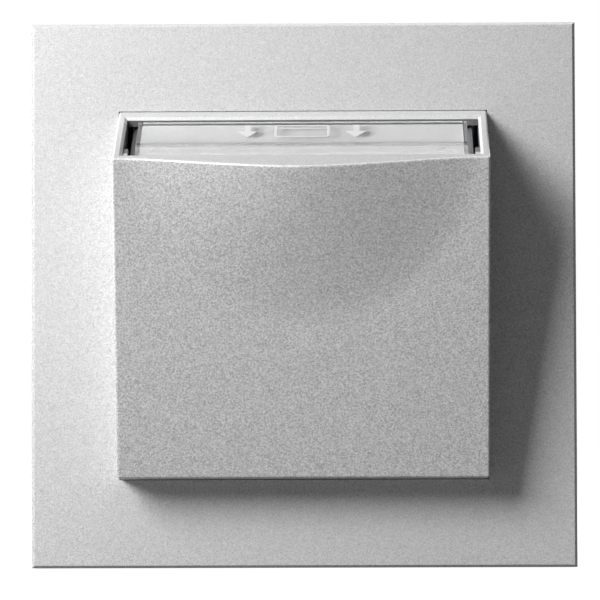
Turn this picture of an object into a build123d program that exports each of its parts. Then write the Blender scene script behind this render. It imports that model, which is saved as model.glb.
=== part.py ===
from build123d import *

import os
from math import atan2, cos, radians, sin, sqrt

# Hotel key card switch for one flush wall box, in millimetres.
# X runs right, Z runs up, the wall is the plane y = 0 and the viewer stands on the -Y side.

# Card, which is not part of the switch
card_width = 53.98
card_thickness = 0.76
card_side_play = 0.31
card_slot_play = 0.64

# Cover frame
frame_size = 85.0
frame_depth = 8.0
frame_plate = 2.2
frame_skirt = 2.0
frame_bevel = 0.4
window_gap = 0.08
ledge_reach = 2.08
ledge_wall = 2.0
ledge_thickness = 1.5
rib_thickness = 1.2
rib_spacing = 36.0
rib_rise = 1.6

# Card housing, the wedge that stands out of the frame
side_wall = 1.4
front_wall = 1.55
roof_wall = 1.5
floor_wall = 1.6
top_reach = 17.9
bottom_reach = 7.0
top_drop = 8.5
bottom_rise = 0.3
back_rim = 2.35
mouth_bevel = 0.4
housing_round = 0.35
bulge_height = 3.3
bulge_margin = 1.5
bulge_crown_share = 0.3
bulge_foot_share = 0.8
bulge_lift = 1.5
rib_proud = 0.75
rib_width = 2.8
rib_lowering = 0.7
latch_width = 5.0
latch_depth = 1.6
latch_height = 16.0
latch_bite = 0.5
latch_play = 0.15

# Stop on the card guide, under the card's lower edge
card_stop_reach = 1.2

# Light guide and the parts under it
glass_gap = 1.8
glass_recess = 0.6
glass_thickness = 1.5
glass_bevel = 0.3
glass_fit = 0.1
crease_inset = 7.4
lip_angle = 38.0
leg_fit = 0.1
peg_radius = 1.6
peg_height = 0.25
peg_spacing = 43.8
peg_drop = 1.6
diffuser_thickness = 1.0
diffuser_inset = 0.5
diffuser_fit = 0.15

# Card guide, the carrier inside the housing
guide_fit = 0.35
guide_wall = 1.7
guide_side = 1.3
guide_floor = 1.3
guide_back = 1.2
shelf_drop = 13.7
shelf_thickness = 1.6
foot_thickness = 2.0
foot_edge = 3.2
foot_height = 8.0
lug_thickness = 2.0
lug_fit = 0.2
lug_radius = 2.8

# Card lever and its pin
pivot_lowering = 3.0
pivot_inward = 7.8
lever_width = 12.0
lever_thickness = 2.2
lever_inward = 6.2
lever_length = 25.0
hub_radius = 2.4
hub_width = 16.0
pin_radius = 1.0
pin_play = 0.05
pin_grip = 0.01
pin_bevel = 0.2
nose_height = -9.0
nose_tip_height = 2.6
nose_root_above = 5.2
nose_root_below = 3.2
nose_width = 5.0
nose_relief = 0.6
nose_round = 0.7
nose_play = 0.7
lever_swing = 5.5
pad_radius = 2.0
pad_width = 8.0

# Plunger and its spring
plunger_radius = 2.5
plunger_fit = 0.06
plunger_head = 4.5
plunger_head_thickness = 1.5
plunger_face_y = -9.2
touch_gap = 0.05
spring_wire = 0.5
spring_radius = 3.7
spring_turns = 3

# Support ring
ring_inset = 7.0
ring_thickness = 1.2
ring_corner = 4.0
ring_bearing = 2.0
ring_opening_corner = 2.0
box_screw_edge = 5.5
box_screw_hole = 1.8
box_slot_length = 9.0
ring_corner_edge = 7.5
ring_corner_hole = 1.25

# Socket cover
cover_thickness = 2.0
cover_edge_fit = 0.7
cover_corner = 1.5
spigot_fit = 0.2
tube_wall = 1.6
tube_length = 4.0
guide_screw_share = 0.77
screw_boss = 2.4
socket_screw_share = 0.7

# Screws
screw_shank = 1.25
screw_head = 2.3
screw_head_thickness = 1.2
screw_length = 8.0
screw_clearance = 0.2
screw_grip = 0.02
slot_width = 0.6
slot_depth = 0.5

# Socket base
base_share = 0.52
base_corner_share = 0.2
base_depth = 27.0
base_wall = 1.6
base_boss = 2.8
base_boss_length = 12.0
bridge_thickness = 1.2
bridge_gap = 0.1
block_gap = 1.8
block_roof = 2.4

# Contact set
strip_thickness = 0.8
strip_fit = 0.15
strip_beyond = 2.1
knife_share = 0.29
knife_reach = 4.3
blade_thickness = 0.6
blade_width = 6.0
blade_beyond = 2.0
knife_play = 0.08
knife_depth = 1.8
contact_lowering = 3.4
contact_radius = 1.5
contact_head = 0.8
contact_dome = 0.3
contact_shank = 0.7
shank_fit = 0.05
moving_front = 1.35
moving_back = 0.7
foot_half = 2.5
foot_over = 3.0
leg_rise = 1.0
blade_spring_radius = 2.0
blade_spring_wire = 0.4
blade_spring_turns = 4

# Terminals
terminal_share = 0.215
terminal_rise = 5.0
clamp_width = 6.6
clamp_depth = 6.4
clamp_height = 6.5
clamp_wall = 1.2
clamp_seat = 0.2
terminal_shank = 1.4
terminal_head = 2.2
terminal_screw_length = 3.7
wire_entry = 4.0

# Lamp board
board_width = 40.0
board_depth = 11.0
board_thickness = 1.0
board_lead = 0.9
board_post_height = 1.0
board_post_spacing = 34.0
board_post_radius = 1.8
board_peg_radius = 0.8
board_peg_height = 1.6
board_fit = 0.08
lamp_count = 3
lamp_spacing = 13.0
lamp_length = 3.5
lamp_width = 2.8
lamp_height = 1.6
lamp_lens_radius = 0.95
lamp_lens_depth = 0.4
lamp_back = 6.5
resistor_spacing = 13.0
resistor_length = 2.0
resistor_width = 1.25
resistor_height = 0.6
resistor_back = 2.6
pin_share = 0.36
wire_radius = 0.4
wire_hole_fit = 0.1
wire_bend = 0.55
wire_back = 1.6
wire_reach = 3.5
wire_lowering = 1.0

# One overrun serves all cuts that start outside a piece
over = 5.0

# Sizes worked out from the ones above
inner_half = card_width / 2 + card_side_play
slot_gap = card_thickness + card_slot_play
body_size = 2 * (inner_half + side_wall)
body_half = body_size / 2
bulge_radius = body_half - bulge_margin
shelf_height = body_half - shelf_drop
pivot_height = shelf_height - pivot_lowering
crease_reach = top_reach - crease_inset
board_front = crease_reach + board_lead
window_half = body_half + window_gap
ledge_half = window_half - ledge_reach
face_y = -frame_depth
seat_y = frame_plate - frame_depth
ring_front_y = -ring_thickness
cover_front_y = ring_front_y - cover_thickness
cover_half = ledge_half - cover_edge_fit
guide_half = ledge_half - guide_fit
guide_room_half = guide_half - guide_side
glass_half = inner_half - glass_gap
slope = atan2(top_drop, top_reach)
lean = atan2(top_reach - bottom_reach, body_size - top_drop - bottom_rise)
top_front = (face_y - top_reach, body_half - top_drop)
bottom_front = (face_y - bottom_reach, bottom_rise - body_half)
slot_back = front_wall + slot_gap
shelf_top = shelf_height + shelf_thickness
ring_size = frame_size - 2 * ring_inset
box_screw_spacing = ring_size - 2 * box_screw_edge
ring_corner_spacing = ring_size - 2 * ring_corner_edge
base_size = frame_size * base_share
ring_opening = base_size - 2 * ring_bearing
guide_screw_spacing = base_size * guide_screw_share
socket_screw_spacing = base_size * socket_screw_share
pin_spacing = base_size * pin_share
base_corner = base_size * base_corner_share
terminal_spacing = base_size * terminal_share
terminal_height = base_wall + terminal_rise - base_size / 2
block_top = terminal_height + clamp_height / 2 + clamp_seat + block_roof
leg_height = block_top + leg_rise
contact_height = leg_height - contact_lowering
strip_end = terminal_height - strip_beyond
knife_height = base_size * knife_share
knife_y = tube_length + knife_reach
blade_length = knife_height - contact_height + blade_beyond
foot_reach = guide_room_half - guide_screw_spacing / 2 + foot_edge
strip_width = clamp_width - 2 * clamp_wall - clamp_seat
dome_radius = (contact_radius**2 + contact_dome**2) / (2 * contact_dome)

outline = [
    (seat_y, body_half),
    (face_y, body_half),
    top_front,
    bottom_front,
    (face_y, -body_half),
    (seat_y, -body_half),
]


def crossing(first, second):
    # the point where two lines meet, each line being a point and a direction
    (y1, z1), (dy1, dz1) = first
    (y2, z2), (dy2, dz2) = second
    along = ((y2 - y1) * dz2 - (z2 - z1) * dy2) / (dy1 * dz2 - dz1 * dy2)
    return (y1 + along * dy1, z1 + along * dz1)


def side_beside(start, end, distance):
    # the line through two points, moved to its left by the distance
    run = Vector(end[0] - start[0], end[1] - start[1]).normalized()
    return ((start[0] - run.Y * distance, start[1] + run.X * distance), (run.X, run.Y))


def inset(points, walls):
    # a closed outline with each side moved inwards by its own wall
    sides = [
        side_beside(points[index], points[(index + 1) % len(points)], wall)
        for index, wall in enumerate(walls)
    ]
    return [crossing(sides[index - 1], side) for index, side in enumerate(sides)]


def bent_strip(points, thickness):
    # the outline of a strip bent along the points, with its thickness on their left
    sides = [side_beside(a, b, thickness) for a, b in zip(points, points[1:])]
    last = sides[-1][1]
    back = [sides[0][0]]
    back += [crossing(a, b) for a, b in zip(sides, sides[1:])]
    back.append((points[-1][0] - last[1] * thickness, points[-1][1] + last[0] * thickness))
    return points + back[::-1]


def face_line(inward):
    # the housing's front face, moved into the housing
    return side_beside(top_front, bottom_front, inward)


def roof_line(lowering):
    # the housing's sloping top, moved into the housing
    return side_beside((face_y, body_half), top_front, lowering)


def on_face(inward, height):
    # a point at this height on the front face moved inwards
    return crossing(face_line(inward), ((0, height), (1, 0)))


def on_roof(lowering, reach):
    # a point on the lowered roof, this far out of the frame's face
    return crossing(roof_line(lowering), ((face_y - reach, 0), (0, 1)))


def under_roof(reach, lowering):
    # a point square under the sloping top, from where the top is this far out
    y, z = on_roof(0, reach)
    return (y + sin(slope) * lowering, z - cos(slope) * lowering)


def wall_plane(y):
    # a plane parallel to the wall whose sketches read as the viewer sees them
    return Plane.XZ.offset(-y)


def turned(place, points):
    # a profile of radius and y, turned about the line along Y through the place
    centre = (place[0], 0, place[1])
    with BuildSketch(Plane(origin=centre)) as profile:
        with BuildLine():
            Polyline(*points, close=True)
        make_face()
    revolve(profile.sketch, axis=Axis(centre, (0, 1, 0)))


def screw(place, seat, shank, head, length, way=1):
    # a slotted cheese-head screw whose head bears on the seat, pointing to the wall or, with
    # a way of -1, out of it
    top = seat - way * screw_head_thickness
    turned(
        place,
        [
            (0, top),
            (head, top),
            (head, seat),
            (shank, seat),
            (shank, seat + way * (length - shank)),
            (shank / 2, seat + way * length),
            (0, seat + way * length),
        ],
    )
    with BuildSketch(wall_plane(top)) as slot:
        with Locations(place):
            Rectangle(2 * head + slot_width, slot_width)
    extrude(slot.sketch, amount=-way * slot_depth, mode=Mode.SUBTRACT)


def rivet(place, strip_y, tip_y):
    # a domed contact riveted through a strip, whose far side is at strip_y
    way = 1 if tip_y > strip_y else -1
    head_y = strip_y + way * strip_thickness
    edge_y = tip_y - way * contact_dome
    centre = (place[0], 0, place[1])
    with BuildSketch(Plane(origin=centre)) as profile:
        with BuildLine():
            Polyline(
                (0, tip_y),
                (0, strip_y),
                (contact_shank, strip_y),
                (contact_shank, head_y),
                (contact_radius, head_y),
                (contact_radius, edge_y),
            )
            middle_y = tip_y - way * (dome_radius - sqrt(dome_radius**2 - contact_radius**2 / 4))
            ThreePointArc((contact_radius, edge_y), (contact_radius / 2, middle_y), (0, tip_y))
        make_face()
    revolve(profile.sketch, axis=Axis(centre, (0, 1, 0)))


def coil(radius, wire, turns, start_y, end_y):
    # an open compression spring about the Y axis
    height = end_y - start_y - wire
    with BuildLine() as line:
        Helix(
            pitch=height / turns,
            height=height,
            radius=radius,
            center=(0, start_y + wire / 2, 0),
            direction=(0, 1, 0),
        )
    path = line.wire()
    with BuildSketch(Plane(origin=path @ 0, z_dir=path % 0)) as section:
        Circle(wire / 2)
    sweep(section.sketch, path=path, is_frenet=True)


os.makedirs("parts", exist_ok=True)


def save(builder, name):
    builder.part.label = name
    export_step(builder.part, "parts/" + name + ".step")


# Cover frame: a flat square with a plain bevel, hollow behind, with a ledge inside its window
frame_half = frame_size / 2
skirt_half = frame_half - frame_skirt
ledge_outer_half = window_half + ledge_wall
ledge_back_y = seat_y + ledge_thickness
with BuildPart() as cover_frame:
    with BuildSketch():
        with Locations((0, face_y / 2)):
            Rectangle(frame_size, frame_depth)
    extrude(amount=frame_half, both=True)
    chamfer(cover_frame.faces().sort_by(Axis.Y)[0].edges(), length=frame_bevel)
    with BuildSketch(wall_plane(0)):
        Rectangle(2 * skirt_half, 2 * skirt_half)
    extrude(amount=-seat_y, mode=Mode.SUBTRACT)
    with BuildSketch(wall_plane(ledge_back_y)):
        Rectangle(2 * ledge_outer_half, 2 * ledge_outer_half)
    extrude(amount=ledge_thickness)
    with BuildSketch(wall_plane(seat_y)):
        Rectangle(2 * window_half, 2 * window_half)
    extrude(amount=frame_plate + over, mode=Mode.SUBTRACT)
    with BuildSketch(wall_plane(0)):
        Rectangle(2 * ledge_half, 2 * ledge_half)
    extrude(amount=frame_depth, mode=Mode.SUBTRACT)
    rib_length = skirt_half - ledge_outer_half
    rib_middle = (skirt_half + ledge_outer_half) / 2
    with BuildSketch(wall_plane(-ring_thickness - rib_rise)):
        for side in (-1, 1):
            for place in (-rib_spacing / 2, rib_spacing / 2):
                with Locations((side * rib_middle, place)):
                    Rectangle(rib_length, rib_thickness)
                with Locations((place, side * rib_middle)):
                    Rectangle(rib_thickness, rib_length)
    extrude(until=Until.NEXT)
save(cover_frame, "cover_frame")


# Card housing: a hollow wedge, open at the back and along its sloping top, with a swelling
# at the top of its front wall
room = inset(outline, [roof_wall, roof_wall, front_wall, floor_wall, floor_wall, -over])
bulge_centre = Vector(0, *top_front) + Vector(0, -sin(lean), cos(lean)) * bulge_lift
face_out = Vector(0, -cos(lean), -sin(lean))
latch_y = (seat_y + face_y) / 2 - latch_depth
with BuildPart() as card_housing:
    with BuildSketch(Plane.YZ):
        Polygon(*outline, align=None)
    extrude(amount=body_half, both=True)
    with BuildSketch(Plane(origin=bulge_centre, x_dir=(1, 0, 0), z_dir=face_out.cross(Vector(1, 0, 0)))):
        with BuildLine():
            Bezier(
                (0, -bulge_height),
                (bulge_radius * bulge_crown_share, -bulge_height),
                (bulge_radius * bulge_foot_share, 0),
                (bulge_radius, 0),
            )
            Line((bulge_radius, 0), (0, 0))
            Line((0, 0), (0, -bulge_height))
        make_face()
    revolve(axis=Axis(bulge_centre, face_out))
    roof_start, roof_along = roof_line(0)
    with BuildSketch(Plane.YZ):
        with BuildLine():
            far = top_reach + bulge_radius
            high = body_half + bulge_radius
            roof_end = (roof_start[0] + roof_along[0] * far, roof_start[1] + roof_along[1] * far)
            Polyline(roof_start, roof_end, (roof_end[0], high), (roof_start[0], high), close=True)
        make_face()
    extrude(amount=body_half + over, both=True, mode=Mode.SUBTRACT)
    outer_edges = card_housing.edges().filter_by(lambda edge: edge.center().Y < face_y)
    fillet(outer_edges.filter_by(GeomType.CIRCLE, reverse=True), radius=housing_round)
    with BuildSketch(Plane.YZ):
        Polygon(*room, align=None)
    extrude(amount=inner_half, both=True, mode=Mode.SUBTRACT)
    with BuildSketch(Plane.YZ):
        Polygon(
            under_roof(back_rim, 2 * roof_wall),
            under_roof(back_rim, -over),
            on_face(front_wall, body_half),
            on_face(front_wall, body_half - top_drop - roof_wall),
            align=None,
        )
    extrude(amount=inner_half, both=True, mode=Mode.SUBTRACT)
    roof_out = Axis(bulge_centre, (0, -sin(slope), cos(slope)))
    chamfer(card_housing.edges(Select.LAST).group_by(roof_out)[-1], length=mouth_bevel)
    # guide ribs behind the card's two edges
    rib_low = -body_half + floor_wall
    rib_outline = [
        crossing(roof_line(rib_lowering), face_line(slot_back)),
        on_face(slot_back, rib_low),
        on_face(slot_back + rib_width, rib_low),
        crossing(roof_line(rib_lowering), face_line(slot_back + rib_width)),
    ]
    for side in (-1, 1):
        with BuildSketch(Plane.YZ.offset(side * (inner_half - rib_proud / 2))):
            Polygon(*rib_outline, align=None)
        extrude(amount=rib_proud / 2, both=True)
    # pockets for the carrier's latches
    pocket_depth = latch_bite + latch_play
    for side in (-1, 1):
        for height in (-latch_height, latch_height):
            with Locations((side * (inner_half + pocket_depth / 2), latch_y, height)):
                Box(
                    pocket_depth,
                    latch_depth + 2 * latch_play,
                    latch_width + 2 * latch_play,
                    mode=Mode.SUBTRACT,
                )
    # relief for the tip of the lever's nose
    relief_play = 2 * nose_play
    relief_outline = [
        on_face(front_wall - nose_relief - touch_gap, nose_height + nose_tip_height / 2 + relief_play),
        on_face(front_wall - nose_relief - touch_gap, nose_height - nose_tip_height / 2 - relief_play),
        on_face(front_wall + touch_gap, nose_height - nose_tip_height / 2 - relief_play),
        on_face(front_wall + touch_gap, nose_height + nose_tip_height / 2 + relief_play),
    ]
    with BuildSketch(Plane.YZ):
        Polygon(*relief_outline, align=None)
    extrude(amount=nose_width / 2 + nose_play, both=True, mode=Mode.SUBTRACT)
save(card_housing, "card_housing")


# Light guide: a clear plate just under the sloping top, with a lip that leads the card in
# and a short leg behind the slot
lip_start = on_roof(glass_recess, crease_reach)
lip_way = (-cos(radians(lip_angle)), -sin(radians(lip_angle)))
leg_line = face_line(slot_back + leg_fit)
lip_end = crossing((lip_start, lip_way), leg_line)
glass_path = [
    under_roof(back_rim + glass_fit, glass_recess),
    lip_start,
    lip_end,
    on_face(slot_back + leg_fit, shelf_top + leg_fit),
]
lip_middle = (
    lip_end[0] - lip_way[0] * peg_drop,
    lip_end[1] - lip_way[1] * peg_drop,
)
lip_out = (0, -sin(radians(lip_angle)), cos(radians(lip_angle)))
glass_outline = bent_strip(glass_path, glass_thickness)
glass_underside = glass_outline[len(glass_path):][::-1]
with BuildPart() as light_guide:
    with BuildSketch(Plane.YZ):
        Polygon(*glass_outline, align=None)
    extrude(amount=glass_half, both=True)
    rear_edge = light_guide.edges().filter_by(Axis.X).group_by(Axis.Z)[-1]
    chamfer(rear_edge, length=glass_bevel)
    for side in (-1, 1):
        with BuildSketch(Plane(origin=(side * peg_spacing / 2, *lip_middle), z_dir=lip_out)):
            Circle(peg_radius)
        extrude(amount=peg_height)
save(light_guide, "light_guide")


# Diffuser: a white plate against the underside of the light guide
diffuser_path = [
    under_roof(back_rim + diffuser_inset, glass_recess + glass_thickness),
    crossing(
        roof_line(glass_recess + glass_thickness),
        side_beside(lip_start, lip_end, glass_thickness),
    ),
    crossing(
        side_beside(lip_start, lip_end, glass_thickness),
        face_line(slot_back + leg_fit + glass_thickness + diffuser_inset),
    ),
]
with BuildPart() as diffuser_plate:
    with BuildSketch(Plane.YZ):
        Polygon(*bent_strip(diffuser_path, diffuser_thickness), align=None)
    extrude(amount=guide_room_half - diffuser_fit, both=True)
save(diffuser_plate, "diffuser_plate")


# Card guide: the carrier behind the card slot, open at its back
guide_inset = body_half - guide_half
carrier = inset(
    outline,
    [
        guide_inset,
        glass_recess + glass_thickness,
        slot_back,
        guide_inset,
        guide_inset,
        seat_y - cover_front_y,
    ],
)
lower_room = [
    (cover_front_y + over, shelf_height),
    on_face(slot_back + guide_wall, shelf_height),
    on_face(slot_back + guide_wall, guide_floor - guide_half),
    (cover_front_y + over, guide_floor - guide_half),
]
upper_room = [
    (cover_front_y - guide_back, body_half + over),
    (face_y - top_reach - over, body_half + over),
    (face_y - top_reach - over, shelf_top),
    (cover_front_y - guide_back, shelf_top),
]
stop_outline = [
    on_face(slot_back - card_stop_reach, guide_floor - guide_half),
    on_face(slot_back - card_stop_reach, -guide_half),
    on_face(slot_back + guide_wall, -guide_half),
    on_face(slot_back + guide_wall, guide_floor - guide_half),
]
pivot = on_face(pivot_inward, pivot_height)
pin_half = hub_width / 2 + lug_fit + lug_thickness
board_y = face_y - board_front
post_y = board_y + board_depth / 2
wire_y = board_y + board_depth - wire_back
wire_z = shelf_height - wire_lowering
nose_top = nose_height + nose_root_above
nose_bottom = nose_height - nose_root_below
with BuildPart() as card_guide:
    with BuildSketch(Plane.YZ):
        Polygon(*carrier, align=None)
    extrude(amount=guide_half, both=True)
    with BuildSketch(Plane.YZ):
        Polygon(*lower_room, align=None)
    extrude(amount=guide_room_half, both=True, mode=Mode.SUBTRACT)
    with BuildSketch(Plane.YZ):
        Polygon(*upper_room, align=None)
    extrude(amount=guide_room_half, both=True, mode=Mode.SUBTRACT)
    # seat of the light guide in both side walls
    with BuildSketch(Plane.YZ):
        Polygon(
            *glass_underside,
            (glass_underside[-1][0], shelf_top),
            (face_y - top_reach - over, shelf_top),
            (face_y - top_reach - over, body_half + over),
            (glass_underside[0][0], body_half + over),
            align=None,
        )
    extrude(amount=glass_half + glass_fit, both=True, mode=Mode.SUBTRACT)
    with BuildSketch(Plane.YZ):
        Polygon(*stop_outline, align=None)
    extrude(amount=guide_half, both=True)
    # window for the lever's nose
    with BuildSketch(Plane.YZ):
        Polygon(
            on_face(slot_back - touch_gap, nose_top + nose_play),
            on_face(slot_back - touch_gap, nose_bottom - nose_play),
            on_face(slot_back + guide_wall + touch_gap, nose_bottom - nose_play),
            on_face(slot_back + guide_wall + touch_gap, nose_top + nose_play),
            align=None,
        )
    extrude(amount=nose_width / 2 + nose_play, both=True, mode=Mode.SUBTRACT)
    # two lugs under the shelf carry the lever's pin
    for side in (-1, 1):
        with BuildSketch(Plane.YZ.offset(side * (pin_half - lug_thickness / 2))):
            with Locations(pivot):
                Circle(lug_radius)
            Polygon(
                (pivot[0] - lug_radius, pivot[1]),
                (pivot[0] + lug_radius, pivot[1]),
                (pivot[0] + lug_radius, shelf_height + shelf_thickness / 2),
                (pivot[0] - lug_radius, shelf_height + shelf_thickness / 2),
                align=None,
            )
        extrude(amount=lug_thickness / 2, both=True)
    with BuildSketch(Plane.YZ):
        with Locations(pivot):
            Circle(pin_radius + pin_grip)
    extrude(amount=pin_half + pin_grip, both=True, mode=Mode.SUBTRACT)
    # feet that are screwed to the socket cover
    for side in (-1, 1):
        with Locations((side * (guide_room_half - foot_reach / 2), cover_front_y - foot_thickness / 2, 0)):
            Box(foot_reach, foot_thickness, foot_height)
        with BuildSketch(wall_plane(cover_front_y)):
            with Locations((side * guide_screw_spacing / 2, 0)):
                Circle(screw_shank + screw_clearance)
        extrude(amount=foot_thickness, mode=Mode.SUBTRACT)
    # posts and pegs for the lamp board
    for radius, height in (
        (board_post_radius, board_post_height),
        (board_peg_radius, board_post_height + board_peg_height),
    ):
        with BuildSketch(Plane.XY.offset(shelf_top)):
            with Locations((-board_post_spacing / 2, post_y), (board_post_spacing / 2, post_y)):
                Circle(radius)
        extrude(amount=height)
    # holes through which the lamp board's wires leave
    with BuildSketch(Plane.XY.offset(shelf_top)):
        with Locations((-pin_spacing / 2, wire_y), (pin_spacing / 2, wire_y)):
            Circle(wire_radius + wire_hole_fit)
    extrude(amount=-shelf_thickness, mode=Mode.SUBTRACT)
    # latches that hold the housing
    for side in (-1, 1):
        for height in (-latch_height, latch_height):
            with BuildSketch(Plane.XY.offset(height)):
                with BuildLine():
                    Polyline(
                        (side * guide_half, latch_y + latch_depth / 2),
                        (side * (inner_half + latch_bite), latch_y + latch_depth / 2),
                        (side * (inner_half - latch_play), latch_y - latch_depth / 2),
                        (side * guide_half, latch_y - latch_depth / 2),
                        close=True,
                    )
                make_face()
            extrude(amount=latch_width / 2, both=True)
save(card_guide, "card_guide")


# Card lever: a bar that hangs from its pin, with a nose in the card slot and a pad behind
bar_top = on_face(lever_inward, pivot_height)
bar_bottom_height = pivot_height - lever_length
pad_centre = (plunger_face_y - touch_gap - pad_radius, 0)
nose_tip_inward = front_wall - nose_relief
with BuildPart() as card_lever:
    with BuildSketch(Plane.YZ):
        Polygon(
            bar_top,
            on_face(lever_inward, bar_bottom_height),
            on_face(lever_inward + lever_thickness, bar_bottom_height),
            on_face(lever_inward + lever_thickness, pivot_height),
            align=None,
        )
    extrude(amount=lever_width / 2, both=True)
    with BuildSketch(Plane.YZ):
        with Locations(pivot):
            Circle(hub_radius)
    extrude(amount=hub_width / 2, both=True)
    with BuildSketch(Plane.YZ):
        Polygon(
            on_face(lever_inward + lever_thickness / 2, nose_top),
            on_face(lever_inward, nose_top),
            on_face(nose_tip_inward, nose_height + nose_tip_height / 2),
            on_face(nose_tip_inward, nose_height - nose_tip_height / 2),
            on_face(lever_inward, nose_bottom),
            on_face(lever_inward + lever_thickness / 2, nose_bottom),
            align=None,
        )
    extrude(amount=nose_width / 2, both=True)
    tip_edges = card_lever.edges().filter_by(Axis.X)
    tip_edges = tip_edges.filter_by(lambda edge: edge.length < nose_width + touch_gap)
    forwards = Axis((0, *on_face(lever_inward, nose_height)), face_out)
    fillet(tip_edges.sort_by(forwards)[-2:], radius=nose_round)
    with BuildSketch(Plane.YZ):
        with Locations(pad_centre):
            Circle(pad_radius)
        Polygon(
            (pad_centre[0], pad_radius),
            on_face(lever_inward + lever_thickness / 2, pad_radius),
            on_face(lever_inward + lever_thickness / 2, -pad_radius),
            (pad_centre[0], -pad_radius),
            align=None,
        )
    extrude(amount=pad_width / 2, both=True)
    with BuildSketch(Plane.YZ):
        with Locations(pivot):
            Circle(pin_radius + pin_play)
    extrude(amount=hub_width, both=True, mode=Mode.SUBTRACT)
save(card_lever, "card_lever")


# Lever pin: a plain steel pin through both lugs
with BuildPart() as lever_pin:
    with BuildSketch(Plane.YZ):
        with Locations(pivot):
            Circle(pin_radius)
    extrude(amount=pin_half, both=True)
    chamfer(lever_pin.edges(), length=pin_bevel)
save(lever_pin, "lever_pin")


# Support ring: the steel plate that is screwed over the wall box
with BuildPart() as support_ring:
    with BuildSketch(wall_plane(0)):
        RectangleRounded(ring_size, ring_size, ring_corner)
        RectangleRounded(ring_opening, ring_opening, ring_opening_corner, mode=Mode.SUBTRACT)
        with Locations((-box_screw_spacing / 2, 0), (box_screw_spacing / 2, 0)):
            Circle(box_screw_hole, mode=Mode.SUBTRACT)
        with Locations((0, -box_screw_spacing / 2), (0, box_screw_spacing / 2)):
            SlotOverall(box_slot_length, 2 * box_screw_hole, mode=Mode.SUBTRACT)
        with GridLocations(ring_corner_spacing, ring_corner_spacing, 2, 2):
            Circle(ring_corner_hole, mode=Mode.SUBTRACT)
    extrude(amount=ring_thickness)
save(support_ring, "support_ring")


# Socket cover: closes the socket in front of the ring and guides the plunger
spigot_half = ring_opening / 2 - spigot_fit
bore = plunger_radius + plunger_fit
corner_places = [
    (x * socket_screw_spacing / 2, z * socket_screw_spacing / 2) for x in (-1, 1) for z in (-1, 1)
]
guide_screw_places = [(-guide_screw_spacing / 2, 0), (guide_screw_spacing / 2, 0)]
wire_places = [(-pin_spacing / 2, wire_z), (pin_spacing / 2, wire_z)]
with BuildPart() as socket_cover:
    with BuildSketch(wall_plane(ring_front_y)):
        RectangleRounded(2 * cover_half, 2 * cover_half, cover_corner)
    extrude(amount=cover_thickness)
    with BuildSketch(wall_plane(0)):
        RectangleRounded(2 * spigot_half, 2 * spigot_half, ring_opening_corner)
    extrude(amount=ring_thickness)
    with BuildSketch(wall_plane(0)):
        Circle(bore + tube_wall)
        with Locations(*guide_screw_places):
            Circle(screw_boss)
    extrude(amount=-tube_length)
    with BuildSketch(wall_plane(cover_front_y)):
        Circle(bore)
    extrude(amount=cover_front_y - tube_length, mode=Mode.SUBTRACT)
    with BuildSketch(wall_plane(cover_front_y)):
        with Locations(*guide_screw_places):
            Circle(screw_shank + screw_grip)
    extrude(amount=cover_front_y - tube_length, mode=Mode.SUBTRACT)
    with BuildSketch(wall_plane(cover_front_y)):
        with Locations(*corner_places):
            Circle(screw_shank + screw_clearance)
        with Locations(*wire_places):
            Circle(wire_radius + wire_hole_fit)
    extrude(amount=cover_front_y, mode=Mode.SUBTRACT)
    with BuildSketch(wall_plane(cover_front_y)):
        with Locations(*corner_places):
            Circle(screw_head + screw_clearance)
    extrude(amount=-screw_head_thickness, mode=Mode.SUBTRACT)
save(socket_cover, "socket_cover")


# Socket base: the moulded box behind the ring, with a bridge for the knife edge and a
# block of three terminal chambers
base_half = base_size / 2
room_half = base_half - base_wall
room_corner = base_corner - base_wall * (2 - sqrt(2))
floor_y = base_depth - base_wall
clamp_back_y = floor_y - clamp_seat
clamp_front_y = clamp_back_y - clamp_depth
strip_y = clamp_front_y + clamp_wall + clamp_seat / 2
terminal_places = [(index * terminal_spacing, terminal_height) for index in (-1, 0, 1)]
bridge_height = knife_height + strip_thickness + bridge_gap + bridge_thickness / 2
bridge_front_y = tube_length + bridge_thickness
bridge_top = bridge_height + bridge_thickness / 2
bridge_half = base_size - base_corner - bridge_top - base_wall / 2
stroke = (pivot_height - pad_centre[1]) * radians(lever_swing)
blade_swing = stroke / knife_height
blade_front_y = knife_y - blade_thickness / 2
blade_back_y = knife_y + blade_thickness / 2
closed_tip_y = blade_front_y - moving_front - touch_gap
closed_y = closed_tip_y - contact_head - strip_thickness
travel = (knife_height - contact_height) * sin(blade_swing)
open_tip_y = blade_back_y + moving_back + travel + touch_gap
open_y = open_tip_y + contact_head
block_y = open_y + strip_thickness + block_gap
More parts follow.
